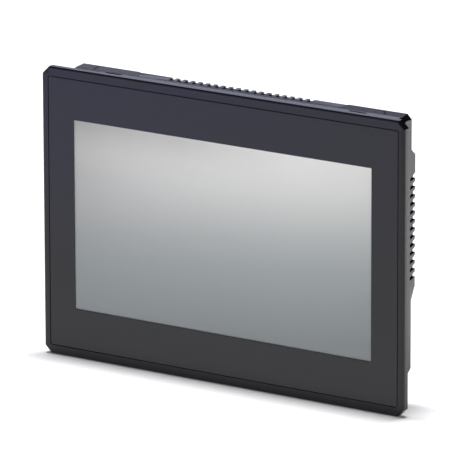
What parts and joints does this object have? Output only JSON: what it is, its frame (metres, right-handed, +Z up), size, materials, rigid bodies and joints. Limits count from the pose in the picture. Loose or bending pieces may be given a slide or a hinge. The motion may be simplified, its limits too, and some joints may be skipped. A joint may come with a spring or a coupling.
{
  "type": "hmi touch panel",
  "caption": "Panel-mount operator panel: widescreen touch display in a thin sealed flange, stepped vented housing behind it, connector bay underneath",
  "frame": {"origin": "centre of the seat plane, where the flange gasket meets the front of the cabinet wall", "axes": "+X to the right as seen from the front, +Y back into the cabinet, +Z up"},
  "size_m": [0.271, 0.0315, 0.191],
  "materials": {
    "bezel": "fine-textured anthracite moulding, satin",
    "overlay": "anthracite printed film, fine matt",
    "housing": "spark-eroded anthracite moulding, matt",
    "touch_glass": "hard-coated touch sensor, silvery grey with the backlight off",
    "adhesive": "black double-sided foam tape",
    "foam": "closed-cell foam, matt",
    "sheet_steel": "bright zinc-plated sheet",
    "display_glass": "dark display cell",
    "white_film": "white diffusing film",
    "clear_acrylic": "clear light guide",
    "flex_film": "amber polyimide film",
    "screw_steel": "bright zinc-plated steel",
    "circuit_board": "green solder mask",
    "chip": "matt black moulding compound",
    "heat_sink": "extruded, natural anodised",
    "ferrite": "matt dark ferrite",
    "can_steel": "bright drawn can",
    "nickel_shell": "nickel-plated sheet",
    "black_plastic": "matt black moulding",
    "green_plastic": "satin green moulding",
    "blue_plastic": "satin blue moulding",
    "white_plastic": "white moulding",
    "red_plastic": "red moulding",
    "label": "blank silver-grey label"
  },
  "bodies": {
    "panel": {"front_bezel": "bezel", "front_overlay": "overlay", "touch_glass": "touch_glass", "touch_adhesive": "adhesive", "touch_tail": "flex_film", "display_gasket": "foam", "lcd_frame": "sheet_steel", "lcd_glass": "display_glass", "diffuser_sheet": "white_film", "light_guide": "clear_acrylic", "led_strip": "white_plastic", "lcd_tray": "sheet_steel", "lcd_flex": "flex_film", "carrier_frame": "housing", "flange_gasket": "foam", "rear_cover": "housing", "main_board": "circuit_board", "processor": "chip", "heat_sink": "heat_sink", "memory_chip": "chip", "power_inductor": "ferrite", "capacitor_1": "can_steel", "capacitor_2": "can_steel", "battery_holder": "black_plastic", "coin_cell": "can_steel", "ethernet_jack": "nickel_shell", "usb_shell": "nickel_shell", "usb_tongue": "black_plastic", "serial_shell": "nickel_shell", "serial_insert": "black_plastic", "jack_post_1": "screw_steel", "jack_post_2": "screw_steel", "power_header": "green_plastic", "dip_switch": "blue_plastic", "reset_switch": "black_plastic", "earth_screw": "screw_steel", "rating_label": "label", "lcd_screw_1": "screw_steel", "board_screw_1": "screw_steel", "lcd_screw_2": "screw_steel", "board_screw_2": "screw_steel", "lcd_screw_3": "screw_steel", "board_screw_3": "screw_steel", "lcd_screw_4": "screw_steel", "board_screw_4": "screw_steel", "cover_screw_1": "screw_steel", "cover_screw_2": "screw_steel", "cover_screw_3": "screw_steel", "cover_screw_4": "screw_steel", "cover_screw_5": "screw_steel", "cover_screw_6": "screw_steel"},
    "power_plug": {"power_plug": "green_plastic"},
    "terminal_screw_1": {"terminal_screw_1": "screw_steel"},
    "terminal_screw_2": {"terminal_screw_2": "screw_steel"},
    "terminal_screw_3": {"terminal_screw_3": "screw_steel"},
    "reset_button": {"reset_button": "red_plastic"},
    "dip_slider_1": {"dip_slider_1": "white_plastic"},
    "dip_slider_2": {"dip_slider_2": "white_plastic"},
    "dip_slider_3": {"dip_slider_3": "white_plastic"},
    "dip_slider_4": {"dip_slider_4": "white_plastic"}
  },
  "joints": [
    {"name": "plug_pull", "type": "slide", "parent": "panel", "child": "power_plug", "axis": [0, 0, -1], "range_m": [0, 0.012]},
    {"name": "terminal_screw_1_turn", "type": "hinge", "parent": "power_plug", "child": "terminal_screw_1", "pos_m": [-0.07108, 0.0204, -0.0806], "axis": [0, 1, 0], "continuous": true},
    {"name": "terminal_screw_2_turn", "type": "hinge", "parent": "power_plug", "child": "terminal_screw_2", "pos_m": [-0.066, 0.0204, -0.0806], "axis": [0, 1, 0], "continuous": true},
    {"name": "terminal_screw_3_turn", "type": "hinge", "parent": "power_plug", "child": "terminal_screw_3", "pos_m": [-0.06092, 0.0204, -0.0806], "axis": [0, 1, 0], "continuous": true},
    {"name": "reset_press", "type": "slide", "parent": "panel", "child": "reset_button", "axis": [0, -1, 0], "range_m": [0, 0.0008], "stiffness_N_per_m": 1200, "springref_m": -0.0003},
    {"name": "dip_slider_1_slide", "type": "slide", "parent": "panel", "child": "dip_slider_1", "axis": [0, 1, 0], "range_m": [0, 0.0016]},
    {"name": "dip_slider_2_slide", "type": "slide", "parent": "panel", "child": "dip_slider_2", "axis": [0, 1, 0], "range_m": [0, 0.0016]},
    {"name": "dip_slider_3_slide", "type": "slide", "parent": "panel", "child": "dip_slider_3", "axis": [0, 1, 0], "range_m": [0, 0.0016]},
    {"name": "dip_slider_4_slide", "type": "slide", "parent": "panel", "child": "dip_slider_4", "axis": [0, 1, 0], "range_m": [0, 0.0016]}
  ]
}
